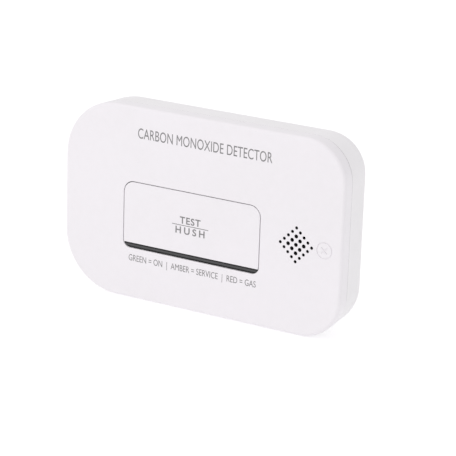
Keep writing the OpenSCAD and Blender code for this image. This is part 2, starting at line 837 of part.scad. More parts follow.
// Two insulated wires: down from the board, round a bend and into the sounder
module sounder_leads() {
    wire_r = 0.5;
    bend_r = 1.5;
    wire_z = sounder_back + lead_rise;
    start_x = board_x1 - 1.2;
    end_x = grille_x - sounder_r + 0.9;
    color("firebrick") stand() for (k = [-1, 1]) translate([start_x, grille_y + k, 0]) {
        translate([0, 0, wire_z + bend_r]) cylinder(r = wire_r, h = board_back - wire_z - bend_r, $fn = 24);
        translate([bend_r, 0, wire_z + bend_r]) rotate([90, 0, 0]) rotate_extrude(angle = 90, start = 180)
            translate([bend_r, 0]) circle(r = wire_r, $fn = 24);
        translate([bend_r, 0, wire_z]) rotate([0, 90, 0])
            cylinder(r = wire_r, h = end_x - start_x - bend_r, $fn = 24);
    }
}

module case_screws() {
    color("silver") stand() for (spot = screw_spots) translate([spot.x, spot.y, screw_seat]) {
        translate([0, 0, -screw_head_h]) difference() {
            cylinder(r = screw_head_r, h = screw_head_h, $fn = 32);
            cross_slot(3.2, 0.8, 1.1);
        }
        translate([0, 0, -eps]) cylinder(r = screw_r, h = screw_len, $fn = 32);
    }
}

// Round cell standing on its flat end, y upwards
module cell() {
    nub_h = 1;
    shoulder = 0.6;
    rotate([-90, 0, 0]) rotate_extrude()
        polygon([[0, 0], [cell_d / 2 - shoulder, 0], [cell_d / 2, shoulder],
                 [cell_d / 2, cell_len - nub_h - shoulder], [cell_d / 2 - shoulder, cell_len - nub_h],
                 [2.75, cell_len - nub_h], [2.75, cell_len], [0, cell_len]]);
}

module cell_left() {
    color("dimgray") stand() translate([cell_xs[0], cell_top - cell_len, cell_z]) cell();
}

module cell_right() {
    color("dimgray") stand() translate([cell_xs[1], cell_len - cell_top, cell_z]) rotate([0, 0, 180]) cell();
}

// Conical coil spring along y, made of rings of points joined into a tube
module coil_spring(wide_r, narrow_r, long, turns, wire_r) {
    steps = 14 * turns;
    sides = 6;
    rings = [for (k = [0 : steps]) let (
        t = k / steps,
        a = 360 * turns * t,
        r = wide_r + (narrow_r - wide_r) * t,
        y = wire_r + (long - 2 * wire_r) * t
    ) [for (s = [0 : sides - 1]) let (b = 360 * s / sides, q = r + wire_r * cos(b))
        [q * cos(a), y + wire_r * sin(b), q * sin(a)]]];
    points = [for (ring = rings) for (p = ring) p];
    sidewalls = [for (k = [0 : steps - 1], s = [0 : sides - 1]) let (n = (s + 1) % sides)
        [k * sides + s, k * sides + n, (k + 1) * sides + n, (k + 1) * sides + s]];
    first_cap = [for (s = [0 : sides - 1]) sides - 1 - s];
    last_cap = [for (s = [0 : sides - 1]) steps * sides + s];
    polyhedron(points, concat(sidewalls, [first_cap], [last_cap]));
}

module battery_springs() {
    gap = 0.03;
    seat = bay_half - contact_t - gap;
    long = spring_len - 2 * gap;
    color("silver") stand() {
        translate([cell_xs[0], -seat, cell_z]) coil_spring(4.2, 2.6, long, 3, 0.35);
        translate([cell_xs[1], seat, cell_z]) rotate([0, 0, 180]) coil_spring(4.2, 2.6, long, 3, 0.35);
    }
}

// Flat contact on the end wall of the bay; end is 1 at the top of the bay and -1 at its foot
module contact_plate(x0, x1, end) {
    y0 = end > 0 ? bay_half - contact_t : -bay_half;
    translate([x0, y0, cell_z - 4.6]) cube([x1 - x0, contact_t, 9.2]);
}

module contact_dimple(x, end) {
    translate([x, end * (bay_half - contact_t + eps), cell_z]) rotate([end * 90, 0, 0])
        cylinder(r1 = 3.2, r2 = 2.2, h = dimple_h + eps);
}

module contact_tab(x) {
    translate([x - 1.2, -bay_half, cell_z]) cube([2.4, contact_t, board_front + 0.6 - cell_z]);
}

module bridge_contact() {
    color("silver") stand() {
        contact_plate(cell_xs[0] - 5, cell_xs[1] + 5, 1);
        contact_dimple(cell_xs[0], 1);
    }
}

module negative_contact() {
    color("silver") stand() {
        contact_plate(cell_xs[0] - 5, cell_xs[0] + 5, -1);
        contact_tab(cell_xs[0]);
    }
}

module positive_contact() {
    color("silver") stand() {
        contact_plate(cell_xs[1] - 5, cell_xs[1] + 5, -1);
        contact_dimple(cell_xs[1], -1);
        contact_tab(cell_xs[1]);
    }
}

module rating_label() {
    edge = 0.2;
    color("white") stand() translate([plate_mid - label_w / 2 + edge, label_y + edge, channel_z])
        cube([label_w - 2 * edge, label_h - 2 * edge, label_t]);
}

wall_plate();
rear_housing();
front_cover();
battery_door();
test_button();
indicator_bar();
light_baffle();
light_guides();
power_led();
fault_led();
alarm_led();
main_board();
board_screws();
switch_body();
switch_plunger();
microcontroller();
amplifier_chip();
chip_resistors();
chip_capacitors();
reservoir_capacitor();
sounder_coil();
service_header();
header_pins();
sensor_base();
sensor_can();
sensor_filter();
sensor_cell();
sensor_pins();
sounder_case();
sounder_cap();
sounder_disc();
sounder_ceramic();
sounder_gasket();
sounder_leads();
dust_mesh();
case_screws();
cell_left();
cell_right();
battery_springs();
bridge_contact();
negative_contact();
positive_contact();
rating_label();
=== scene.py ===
import json
import math
import bpy
import numpy as np
from mathutils import Matrix, Vector


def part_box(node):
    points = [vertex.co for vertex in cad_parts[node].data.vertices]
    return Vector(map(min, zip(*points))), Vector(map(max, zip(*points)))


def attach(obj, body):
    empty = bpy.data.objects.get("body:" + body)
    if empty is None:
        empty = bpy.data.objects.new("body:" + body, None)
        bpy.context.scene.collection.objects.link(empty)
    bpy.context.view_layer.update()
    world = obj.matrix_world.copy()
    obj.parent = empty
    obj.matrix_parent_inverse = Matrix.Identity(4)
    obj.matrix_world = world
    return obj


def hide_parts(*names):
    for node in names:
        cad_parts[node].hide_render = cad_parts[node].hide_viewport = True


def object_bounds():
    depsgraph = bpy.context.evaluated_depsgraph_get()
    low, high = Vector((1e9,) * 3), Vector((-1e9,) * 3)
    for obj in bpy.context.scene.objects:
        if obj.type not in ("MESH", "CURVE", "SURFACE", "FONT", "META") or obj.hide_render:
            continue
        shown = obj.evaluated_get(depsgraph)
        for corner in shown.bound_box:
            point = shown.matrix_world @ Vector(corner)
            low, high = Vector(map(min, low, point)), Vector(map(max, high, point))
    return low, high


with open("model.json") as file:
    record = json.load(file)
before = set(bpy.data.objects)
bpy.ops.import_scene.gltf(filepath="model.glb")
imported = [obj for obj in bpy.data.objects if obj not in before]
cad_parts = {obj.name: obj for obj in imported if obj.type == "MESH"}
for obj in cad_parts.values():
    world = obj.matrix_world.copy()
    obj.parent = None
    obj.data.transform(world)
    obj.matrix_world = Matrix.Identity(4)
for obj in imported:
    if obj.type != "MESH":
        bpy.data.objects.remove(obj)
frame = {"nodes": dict(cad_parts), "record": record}  # CAD nodes and bodies, in metres, with the wall at y = 0
cadBox = [list(corner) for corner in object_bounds()]
mm = 0.001
print("frame loaded:", len(frame["nodes"]), "nodes")

cover = [np.array(corner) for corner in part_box("front_cover")]
faceY = cover[0][1]  # plane of the front face
faceCentre = (cover[0] + cover[1]) / 2


camera = {
    "yaw": -29.362, "pitch": 17.697, "roll": -1.956,  # degrees
    "aside": -10.689, "above": 4.115, "away": 800.253,  # mm from the middle of the face
    "lens": 169.49, "sensor": 36,
    "near": 0.01, "far": 100,  # metres
}
studio = {
    "floor": 3.0, "drop": 0.0002,  # half its width and its depth below the case, metres
    "floorColour": (0.66, 0.66, 0.665), "floorRoughness": 0.12, "floorGlow": 0.44,
    "cloud": 400, "cloudShade": 0.99,  # blotches in mm
    "skyColour": (1.0, 0.995, 1.0), "skyStrength": 0.86,
}
lamps = {  # place in metres, size in metres, power in watts
    "keyLamp": {"place": (-0.75, -1.15, 1.0), "size": 2.2, "power": 7.5,
                "colour": (1.0, 0.985, 0.975)},
    "sideLamp": {"place": (1.5, -0.1, 0.5), "size": 0.9, "power": 0.3,
                 "colour": (0.98, 0.99, 1.0)},
}


def addCamera(view):
    # turn = roll * pitch * yaw, whose rows are the camera's right, ahead and up
    yaw, pitch, roll = (math.radians(view[key]) for key in ("yaw", "pitch", "roll"))
    turnYaw = np.array([[math.cos(yaw), -math.sin(yaw), 0],
                        [math.sin(yaw), math.cos(yaw), 0],
                        [0, 0, 1]])
    turnPitch = np.array([[1, 0, 0],
                          [0, math.cos(pitch), -math.sin(pitch)],
                          [0, math.sin(pitch), math.cos(pitch)]])
    turnRoll = np.array([[math.cos(roll), 0, -math.sin(roll)],
                         [0, 1, 0],
                         [math.sin(roll), 0, math.cos(roll)]])
    turn = turnRoll @ turnPitch @ turnYaw
    place = turn.T @ np.array([-view["aside"], -view["away"], -view["above"]]) * mm
    place = place + np.array([0, faceY, 0])
    data = bpy.data.cameras.new("camera")
    data.lens, data.sensor_width = view["lens"], view["sensor"]
    data.dof.use_dof = False
    data.clip_start, data.clip_end = view["near"], view["far"]
    made = bpy.data.objects.new("camera", data)
    bpy.context.scene.collection.objects.link(made)
    columns = [turn[0], turn[2], -turn[1], place]
    rows = [[float(column[k]) for column in columns] for k in range(3)]
    made.matrix_world = Matrix(rows + [[0, 0, 0, 1]])
    bpy.context.scene.camera = made


def addLamp(name, look):
    data = bpy.data.lights.new(name, "AREA")
    data.shape, data.size = "DISK", look["size"]
    data.energy, data.color = look["power"], look["colour"]
    made = bpy.data.objects.new(name, data)
    made.location = look["place"]
    made.rotation_mode = "QUATERNION"
    made.rotation_quaternion = (-Vector(look["place"])).to_track_quat("-Z", "Y")
    bpy.context.scene.collection.objects.link(made)


class Wire:
    # one output socket: an expression on it adds the Math nodes that work it out
    def __init__(self, bench, socket):
        self.bench, self.socket = bench, socket

    def apply(self, operation, *others):
        return self.bench.node("ShaderNodeMath", {"operation": operation},
                               dict(enumerate([self, *others])))

    def __add__(self, other):
        return self.apply("ADD", other)

    def __mul__(self, other):
        return self.apply("MULTIPLY", other)

    def __sub__(self, other):
        return self.apply("SUBTRACT", other)

    def __rsub__(self, other):
        return self.bench.node("ShaderNodeMath", {"operation": "SUBTRACT"}, {0: other, 1: self})

    def __truediv__(self, other):
        return self.apply("DIVIDE", other)

    def __abs__(self):
        return self.apply("ABSOLUTE")

    __radd__, __rmul__ = __add__, __mul__

    def above(self, level, soft):
        # 0 below level, 1 from level + soft on, smooth between them
        return self.bench.node("ShaderNodeMapRange", {"interpolation_type": "SMOOTHSTEP"},
                               {"Value": self, "From Min": level, "From Max": level + soft})

    def within(self, middle, half, soft):
        # 1 within half of middle, falling to 0 over soft
        return 1 - abs(self - middle).above(half, soft)


class Bench:
    # builds one material's nodes
    def __init__(self, name):
        self.material = bpy.data.materials.new(name)
        self.material.use_nodes = True
        self.tree = self.material.node_tree
        self.tree.nodes.clear()
        self.place = self.node("ShaderNodeTexCoord", output="Object")

    def node(self, kind, settings=None, inputs=None, output=0):
        made = self.tree.nodes.new(kind)
        for key, value in (settings or {}).items():
            setattr(made, key, value)
        for key, value in (inputs or {}).items():
            if isinstance(value, Wire):
                self.tree.links.new(value.socket, made.inputs[key])
            else:
                made.inputs[key].default_value = value
        return Wire(self, made.outputs[output]) if len(made.outputs) else made

    def axes(self):
        # the three coordinates in mm
        split = self.node("ShaderNodeSeparateXYZ", None, {0: self.place})
        outs = split.socket.node.outputs
        return [Wire(self, outs[k]) * 1000 for k in range(3)]

    def stretched(self, factors, turn=(0, 0, 0)):
        return self.node("ShaderNodeMapping", None, {
            "Vector": self.place, "Scale": factors, "Rotation": turn})

    def noise(self, size, detail, rough, vector=None):
        # size of its blotches in mm
        return self.node("ShaderNodeTexNoise", None, {
            "Vector": vector or self.place, "Scale": 1000 / size, "Detail": detail, "Roughness": rough})

    def cells(self, size):
        # distance to the nearest of scattered points, size apart in mm
        return self.node("ShaderNodeTexVoronoi", {"feature": "F1"}, {
            "Vector": self.place, "Scale": 1000 / size}, "Distance")

    def blend(self, first, second, factor):
        # colour between first and second
        first, second = (c if isinstance(c, Wire) else (*c, 1) for c in (first, second))
        return self.node("ShaderNodeMix", {"data_type": "RGBA"},
                         {0: factor, 6: first, 7: second}, 2)  # sockets of its colour mode

    def bump(self, height, depth, under=None):
        # depth in mm of a height that runs from 0 to 1
        inputs = {"Height": height, "Distance": depth * mm, "Strength": 1}
        if under:
            inputs["Normal"] = under
        return self.node("ShaderNodeBump", None, inputs)

    def finish(self, sockets):
        shader = self.node("ShaderNodeBsdfPrincipled", None, {
            key: (*value, 1) if isinstance(value, tuple) and len(value) == 3 else value
            for key, value in sockets.items()})
        self.node("ShaderNodeOutputMaterial", None, {"Surface": shader})
        return self.material


def scuffs(bench, length, width, amount):
    # fine scratches in two directions: stretched noise kept only at its peaks
    marks = None
    for turn in (0.5, -0.9):
        stretch = bench.stretched((1 / length * width, 1, 1 / 1.5), (0.2, turn, turn))
        line = bench.noise(width, 2, 0.6, stretch).above(0.68 - amount * 0.1, 0.06)
        marks = line if marks is None else marks + line
    return marks.apply("MINIMUM", 1.0)


def specks(bench, spacing, size):
    # sparse dust specks: the middles of a few Voronoi cells
    return 1 - bench.cells(spacing).above(size / spacing, 0.02)


def rimDistance(x, z, look):
    # distance in mm inside a rounded outline: radius - length(max(|p| - half + radius, 0))
    growth = look["rightCorner"] - look["leftCorner"]
    corner = look["leftCorner"] + x.above(look["changeAt"], look["changeOver"]) * growth
    acrossX = (abs(x) - look["halfWidth"] + corner).apply("MAXIMUM", 0.0)
    acrossZ = (abs(z) - look["halfHeight"] + corner).apply("MAXIMUM", 0.0)
    return corner - (acrossX * acrossX + acrossZ * acrossZ).apply("SQRT")


plasticLooks = {
    "cover_plastic": {"colour": (0.84, 0.814, 0.845), "shade": (0.8, 0.778, 0.8), "rough": 0.34,
                      "grain": 0.22, "depth": 0.0016, "scuff": 0.25, "specular": 0.42, "rim": True},
    "case_plastic": {"colour": (0.856, 0.84, 0.858), "shade": (0.815, 0.8, 0.812), "rough": 0.46,
                     "grain": 0.3, "depth": 0.004, "scuff": 0.4, "specular": 0.4, "rim": True},
    "plate_plastic": {"colour": (0.79, 0.785, 0.79), "shade": (0.73, 0.725, 0.72), "rough": 0.52,
                      "grain": 0.35, "depth": 0.006, "scuff": 0.6, "specular": 0.4, "rim": False},
    "black_plastic": {"colour": (0.024, 0.024, 0.026), "shade": (0.042, 0.041, 0.04), "rough": 0.5,
                      "grain": 0.25, "depth": 0.005, "scuff": 0.3, "specular": 0.45, "rim": False},
}
plasticMarks = {  # sizes in mm
    "cloud": 38, "mottle": 2.6, "scratch": (9, 0.12), "dust": (7.5, 0.13), "dustShade": 0.55,
    "wear": 16, "wearWidth": (1.2, 3.0), "wave": 14, "waveDepth": 0.012,
}
caseRim = {"halfWidth": 60.0, "halfHeight": 38.0, "leftCorner": 23.0, "rightCorner": 16.5,
           "changeAt": -1, "changeOver": 2,
           # seam band: painted shadow, standing in for the shade in the gap between cover and housing
           "seam": -20.82, "seamHalf": 0.2, "seamShadowColour": (0.16, 0.155, 0.16), "seamSoft": 0.02}

# the grille's square, and the near-black painted shade for its holes' walls
grilleLow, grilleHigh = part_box("dust_mesh")
grille = {"x": (grilleLow.x + grilleHigh.x) / 2 / mm, "z": (grilleLow.z + grilleHigh.z) / 2 / mm,
          "half": 7.8, "soft": 0.1, "lip": 0.12, "lipSoft": 0.15, "shade": (0.05, 0.05, 0.052)}


def mouldedPlastic(name, look):
    bench = Bench(name)
    x, y, z = bench.axes()
    cloud = bench.noise(plasticMarks["cloud"], 2, 0.5)
    mottle = bench.noise(plasticMarks["mottle"], 4, 0.6)
    marks = scuffs(bench, *plasticMarks["scratch"], look["scuff"])
    dust = specks(bench, *plasticMarks["dust"])
    tone = (cloud * 0.55 + mottle * 0.45).above(0.35, 0.4)
    colour = bench.blend(look["colour"], look["shade"], tone * 0.55 + marks * (0.1 * look["scuff"]))
    dustColour = tuple(plasticMarks["dustShade"] * c for c in look["shade"])
    colour = bench.blend(colour, dustColour, dust * (0.12 * look["scuff"]))
    rough = look["rough"] + (mottle - 0.5) * 0.12 + marks * 0.14
    if look["rim"]:
        rim = rimDistance(x, z, caseRim)
        edge = 1 - rim.above(*plasticMarks["wearWidth"])
        worn = edge * bench.noise(plasticMarks["wear"], 3, 0.5).above(0.4, 0.3)
        # painted shadow: a band across y at the seam is darkened, standing in for the shade that falls in the
        # gap between cover and housing
        paintedSeamShadow = y.within(caseRim["seam"], caseRim["seamHalf"], caseRim["seamSoft"])
        colour = bench.blend(colour, caseRim["seamShadowColour"], paintedSeamShadow)
        rough = rough - worn * 0.05
        # painted shade: dark in the grille's square from the lip back, standing in for the shade on the holes'
        # walls, and wrongly also on the housing's back behind them, because nothing ends it there
        paintedBoreShade = (x.within(grille["x"], grille["half"], grille["soft"])
                 * z.within(grille["z"], grille["half"], grille["soft"])
                 * y.above(faceY / mm + grille["lip"], grille["lipSoft"]))
        colour = bench.blend(colour, grille["shade"], paintedBoreShade)
    grain = bench.noise(look["grain"], 2, 0.5)
    waves = bench.noise(plasticMarks["wave"], 1, 0.4)
    normal = bench.bump(waves, plasticMarks["waveDepth"])
    normal = bench.bump(grain - marks * 0.6, look["depth"], normal)
    return bench.finish({"Base Color": colour, "Roughness": rough,
                         "Specular IOR Level": look["specular"], "Normal": normal})


# core, middle, half and soft: the colour and band of the painted highlight streak
smokedLook = {"colour": (0.008, 0.008, 0.009), "core": (0.045, 0.045, 0.048), "middle": -16.72,
              "half": 0.22, "soft": 0.3, "haze": 6, "scratch": (6, 0.09), "scuff": 0.5,
              "rough": 0.1, "coat": 0.5, "specular": 0.25, "ripple": 0.8, "depth": 0.002}


def smokedPlastic(name, look):
    # a paler streak painted along the bar's middle stands in for a highlight there; the clear coat follows the
    # same streak
    bench = Bench(name)
    x, y, z = bench.axes()
    haze = bench.noise(look["haze"], 3, 0.55)
    marks = scuffs(bench, *look["scratch"], look["scuff"])
    paintedHighlightStreak = z.within(look["middle"], look["half"], look["soft"])
    colour = bench.blend(look["colour"], look["core"], paintedHighlightStreak * (0.7 + 0.5 * haze))
    rough = look["rough"] + haze * 0.06 + marks * 0.2
    normal = bench.bump(bench.noise(look["ripple"], 2, 0.5), look["depth"])
    return bench.finish({"Base Color": colour, "Roughness": rough,
                         "Coat Weight": paintedHighlightStreak * look["coat"],
                         "Specular IOR Level": look["specular"], "Normal": normal})


clearLooks = {
    "clear_plastic": {"colour": (0.8, 0.84, 0.84), "core": (0.7, 0.76, 0.77), "glow": 0.0},
    "green_led": {"colour": (0.1, 0.62, 0.16), "core": (0.55, 0.9, 0.5), "glow": 0.25},
    "yellow_led": {"colour": (0.8, 0.55, 0.04), "core": (0.95, 0.85, 0.4), "glow": 0.05},
    "red_led": {"colour": (0.7, 0.03, 0.02), "core": (0.95, 0.35, 0.25), "glow": 0.05},
}
clearBody = {"flow": 1.1, "spots": (0.9, 0.12), "through": 0.35, "under": 0.1, "depth": 0.01}


def clearPlastic(name, look):
    bench = Bench(name)
    flow = bench.noise(clearBody["flow"], 3, 0.6)
    spots = specks(bench, *clearBody["spots"])
    colour = bench.blend(look["colour"], look["core"], flow.above(0.35, 0.4) * 0.7 + spots * 0.2)
    return bench.finish({"Base Color": colour, "Roughness": 0.1 + flow * 0.12,
                         "Transmission Weight": clearBody["through"],
                         "Subsurface Weight": clearBody["under"],
                         "Emission Color": colour, "Emission Strength": look["glow"],
                         "Normal": bench.bump(flow, clearBody["depth"])})


metalLooks = {  # sizes in mm
    "steel": {"colour": (0.62, 0.61, 0.58), "tarnish": (0.44, 0.42, 0.38), "rough": 0.28,
              "grain": 0.06, "along": (1, 1, 9), "depth": 0.003, "tarnishSize": 1.8},
    "sensor_steel": {"colour": (0.66, 0.655, 0.64), "tarnish": (0.5, 0.49, 0.47), "rough": 0.25,
                     "grain": 0.08, "along": (1, 14, 1), "depth": 0.003, "tarnishSize": 4.0},
    "capacitor_can": {"colour": (0.035, 0.05, 0.14), "tarnish": (0.06, 0.075, 0.18), "rough": 0.33,
                      "grain": 0.1, "along": (1, 8, 1), "depth": 0.004, "tarnishSize": 3.0,
                      "metal": 0.35},  # mostly printed sleeve
    "gold_pins": {"colour": (0.83, 0.6, 0.22), "tarnish": (0.62, 0.42, 0.16), "rough": 0.22,
                  "grain": 0.05, "along": (6, 1, 1), "depth": 0.002, "tarnishSize": 0.8},
    "sounder_brass": {"colour": (0.78, 0.58, 0.25), "tarnish": (0.56, 0.38, 0.17), "rough": 0.3,
                      "grain": 0.09, "along": (12, 1, 1), "depth": 0.003, "tarnishSize": 3.5},
    "copper_winding": {"colour": (0.62, 0.25, 0.1), "tarnish": (0.4, 0.14, 0.06), "rough": 0.26,
                       "grain": 0.12, "along": (1, 10, 1), "depth": 0.006, "tarnishSize": 1.2},
    "contact_metal": {"colour": (0.7, 0.69, 0.66), "tarnish": (0.5, 0.47, 0.42), "rough": 0.24,
                      "grain": 0.07, "along": (1, 9, 1), "depth": 0.003, "tarnishSize": 2.2},
}


def platedMetal(name, look):
    bench = Bench(name)
    drawn = bench.stretched(tuple(1 / factor for factor in look["along"]))
    brushed = bench.noise(look["grain"], 3, 0.6, drawn)
    blotch = bench.noise(look["tarnishSize"], 5, 0.65).above(0.48, 0.22)
    pits = specks(bench, look["tarnishSize"] * 0.5, 0.07)
    colour = bench.blend(look["colour"], look["tarnish"], blotch * 0.55 + brushed * 0.2)
    rough = look["rough"] + brushed * 0.16 + blotch * 0.18
    normal = bench.bump(brushed - pits, look["depth"])
    metal = look["metal"] if "metal" in look else 1 - blotch * 0.12
    return bench.finish({"Base Color": colour, "Roughness": rough, "Metallic": metal,
                         "Normal": normal})


boardLook = {"mask": (0.008, 0.105, 0.04), "deepMask": (0.012, 0.13, 0.05),
             "track": (0.022, 0.19, 0.075), "pad": (0.78, 0.74, 0.62),
             "pitch": 2.54, "hole": 0.5, "ring": 0.85, "padSoft": 0.05, "padPatch": 9,
             "weave": 900, "blocks": 210, "clouds": 24, "depth": 0.03, "coat": 0.3}


def circuitBoard(name, look):
    # tracks are the straight edges of a Voronoi pattern measured in blocks, pads a thinned grid of rings
    bench = Bench(name)
    x, y, z = bench.axes()
    warp, weft = (bench.node("ShaderNodeTexWave", {"wave_type": "BANDS", "bands_direction": way}, {
        "Vector": bench.place, "Scale": look["weave"], "Distortion": 0.6, "Detail": 1})
        for way in ("X", "Z"))
    weave = warp + weft
    nearest, second = (bench.node("ShaderNodeTexVoronoi", {"feature": rank, "distance": "CHEBYCHEV"}, {
        "Vector": bench.place, "Scale": look["blocks"]}) for rank in ("F1", "F2"))
    track = 1 - (second - nearest).above(0.05, 0.03)
    stepX, stepZ = (abs((along / look["pitch"]).apply("FRACT") - 0.5) * look["pitch"]
                    for along in (x, z))
    radial = (stepX * stepX + stepZ * stepZ).apply("SQRT")
    chosen = bench.noise(look["padPatch"], 0, 0.5).above(0.54, 0.02)
    ringMiddle, ringHalf = (look["hole"] + look["ring"]) / 2, (look["ring"] - look["hole"]) / 2
    pad = radial.within(ringMiddle, ringHalf, look["padSoft"]) * chosen
    colour = bench.blend(look["mask"], look["track"], track * 0.85)
    clouds = bench.noise(look["clouds"], 2, 0.5).above(0.4, 0.3) * 0.5
    colour = bench.blend(colour, look["deepMask"], clouds)
    colour = bench.blend(colour, look["pad"], pad)
    rough = 0.24 + weave * 0.06 - pad * 0.05
    normal = bench.bump(track * 0.7 + pad + weave * 0.08, look["depth"])
    return bench.finish({"Base Color": colour, "Roughness": rough, "Metallic": pad * 0.9,
                         "Coat Weight": look["coat"], "Normal": normal})


ceramicLooks = {
    "chip_ceramic": {"colour": (0.3, 0.22, 0.14), "spot": (0.16, 0.11, 0.07), "rough": 0.42,
                     "grain": 0.12},
    "piezo_ceramic": {"colour": (0.8, 0.78, 0.7), "spot": (0.66, 0.63, 0.55), "rough": 0.5,
                      "grain": 0.2},
}
ceramicBody = {"cloud": 14, "crumb": 1.6, "depth": 0.006}  # the first two in grains


def firedCeramic(name, look):
    bench = Bench(name)
    cloud = bench.noise(look["grain"] * ceramicBody["cloud"], 4, 0.6)
    crumbs = bench.cells(look["grain"] * ceramicBody["crumb"])
    spotted = cloud.above(0.4, 0.3) * 0.5 + crumbs * 0.25
    colour = bench.blend(look["colour"], look["spot"], spotted)
    return bench.finish({"Base Color": colour, "Roughness": look["rough"] + crumbs * 0.14,
                         "Normal": bench.bump(crumbs + cloud * 0.4, ceramicBody["depth"])})


clothLooks = {  # thread and depth in mm
    "filter_cloth": {"colour": (0.84, 0.83, 0.79), "gap": (0.5, 0.49, 0.46), "thread": 0.5,
                     "rough": 0.85, "woven": False, "depth": 0.03},
    "mesh_cloth": {"colour": (0.03, 0.03, 0.032), "gap": (0.004, 0.004, 0.004), "thread": 0.32,
                   "rough": 0.7, "woven": True, "depth": 0.05},
    "foam": {"colour": (0.04, 0.04, 0.042), "gap": (0.01, 0.01, 0.01), "thread": 0.28,
             "rough": 0.9, "woven": False, "depth": 0.03},
    "wire_sleeve": {"colour": (0.52, 0.035, 0.03), "gap": (0.34, 0.02, 0.02), "thread": 0.4,
                    "rough": 0.42, "woven": False, "depth": 0.03},
}


def softCloth(name, look):
    # woven: the larger of two crossed waves; otherwise pores; fibres break both up
    bench = Bench(name)
    fibres = bench.noise(look["thread"] * 0.5, 4, 0.7)
    if look["woven"]:
        x, y, z = bench.axes()
        across, upward = ((along * (2 * math.pi / look["thread"])).apply("SINE") * 0.5 + 0.5
                          for along in (x, z))
        weave = across.apply("MAXIMUM", upward)
    else:
        weave = 1 - bench.cells(look["thread"] * 0.9)
    threads = (weave * 0.7 + fibres * 0.5).above(0.3, 0.5)
    colour = bench.blend(look["gap"], look["colour"], threads)
    return bench.finish({"Base Color": colour, "Roughness": look["rough"] + fibres * 0.1,
                         "Normal": bench.bump(weave + fibres * 0.5, look["depth"])})


cellLook = {"sleeve": (0.045, 0.055, 0.075), "band": (0.42, 0.43, 0.45), "metal": (0.7, 0.69, 0.67),
            "between": 32.2,  # mm from the middle to the line between the two cells
            "bandAt": 13.0, "bandWide": 8.5, "lineGap": 1.2, "lineHalf": 0.25, "soft": 0.05,
            "end": 24.0, "topBare": 0.6, "lowBare": 0.9, "bareSoft": 0.1,
            "smear": 5, "scratch": (5, 0.1), "scuff": 0.6, "depth": 0.006}


def cellWrap(name, look):
    # printed sleeve with one plain light band at each positive end, bare metal at both ends
    bench = Bench(name)
    x, y, z = bench.axes()
    side = (x + look["between"]).above(-0.5, 1.0) * -2 + 1  # 1 on the left cell, -1 on the right
    along = z * side
    bandStart = along.above(look["bandAt"], look["soft"])
    band = bandStart * (1 - along.above(look["bandAt"] + look["bandWide"], look["soft"]))
    line = along.within(look["bandAt"] - look["lineGap"], look["lineHalf"], look["soft"])
    topBare = along.above(look["end"] + look["topBare"], look["bareSoft"])
    bare = topBare + (1 - along.above(-look["end"] + look["lowBare"], look["bareSoft"]))
    smear = bench.noise(look["smear"], 4, 0.6, bench.stretched((1, 1, 0.3)))
    marks = scuffs(bench, *look["scratch"], look["scuff"])
    colour = bench.blend(look["sleeve"], look["band"], (band + line).apply("MINIMUM", 1.0))
    paler = tuple(1.6 * c for c in look["sleeve"])
    colour = bench.blend(colour, paler, smear.above(0.45, 0.3) * 0.3)
    colour = bench.blend(colour, look["metal"], bare.apply("MINIMUM", 1.0))
    metallic = (bare + band * 0.7).apply("MINIMUM", 1.0)
    rough = 0.22 + smear * 0.14 + marks * 0.15
    return bench.finish({"Base Color": colour, "Metallic": metallic, "Roughness": rough,
                         "Normal": bench.bump(smear - marks * 0.5, look["depth"])})


labelLook = {"paper": (0.85, 0.85, 0.83), "ink": (0.2, 0.2, 0.21),
             "middle": 14.75, "low": 4.2, "width": 44.0, "height": 17.6,
             "inset": 1.2, "clip": 1.1, "line": 0.08,  # the border
             "pitch": 2.4, "ruleHalf": 0.09, "rulesHalf": 5.9, "rulesFrom": 19,  # the rules
             "shortest": 8, "reach": 16, "fibre": 0.4, "depth": 0.004}


def labelPaper(name, look):
    # a printed border with plain rules in it, and no words
    bench = Bench(name)
    x, y, z = bench.axes()
    halfWidth, halfHeight = look["width"] / 2, look["height"] / 2
    u, v = x - look["middle"], z - (look["low"] + halfHeight)
    sides = abs(u).within(halfWidth - look["inset"], look["line"], 0.05)
    edge = sides + abs(v).within(halfHeight - look["inset"], look["line"], 0.05)
    inside = ((1 - abs(u).above(halfWidth - look["clip"], 0.02))
              * (1 - abs(v).above(halfHeight - look["clip"], 0.02)))
    rows = ((v / look["pitch"]).apply("FRACT").within(0.5, look["ruleHalf"], 0.03)
            * (1 - abs(v).above(look["rulesHalf"], 0.02)))
    stepped = bench.stretched((0.001, 0.001, 14))  # one length for each row
    reach = bench.noise(30, 0, 0.5, stepped) * look["reach"] + look["shortest"]
    start = u + look["rulesFrom"]
    rows = rows * (1 - start.above(reach, 0.05)) * start.above(0.0, 0.05)
    ink = (edge * inside + rows).apply("MINIMUM", 1.0)
    fibre = bench.noise(look["fibre"], 4, 0.7)
    shaded = tuple(0.93 * c for c in look["paper"])
    colour = bench.blend(look["paper"], shaded, fibre.above(0.4, 0.3))
    colour = bench.blend(colour, look["ink"], ink * (0.75 + 0.25 * fibre))
    return bench.finish({"Base Color": colour, "Roughness": 0.42 + fibre * 0.14,
                         "Normal": bench.bump(fibre, look["depth"])})


inkLook = {"colour": (0.19, 0.185, 0.19), "faded": (0.3, 0.295, 0.3), "patch": 0.5, "depth": 0.003}


def printInk(name, look):
    bench = Bench(name)
    patchy = bench.noise(look["patch"], 4, 0.65)
    colour = bench.blend(look["colour"], look["faded"], patchy.above(0.42, 0.25))
    return bench.finish({"Base Color": colour, "Roughness": 0.5 + patchy * 0.15,
                         "Normal": bench.bump(patchy, look["depth"])})


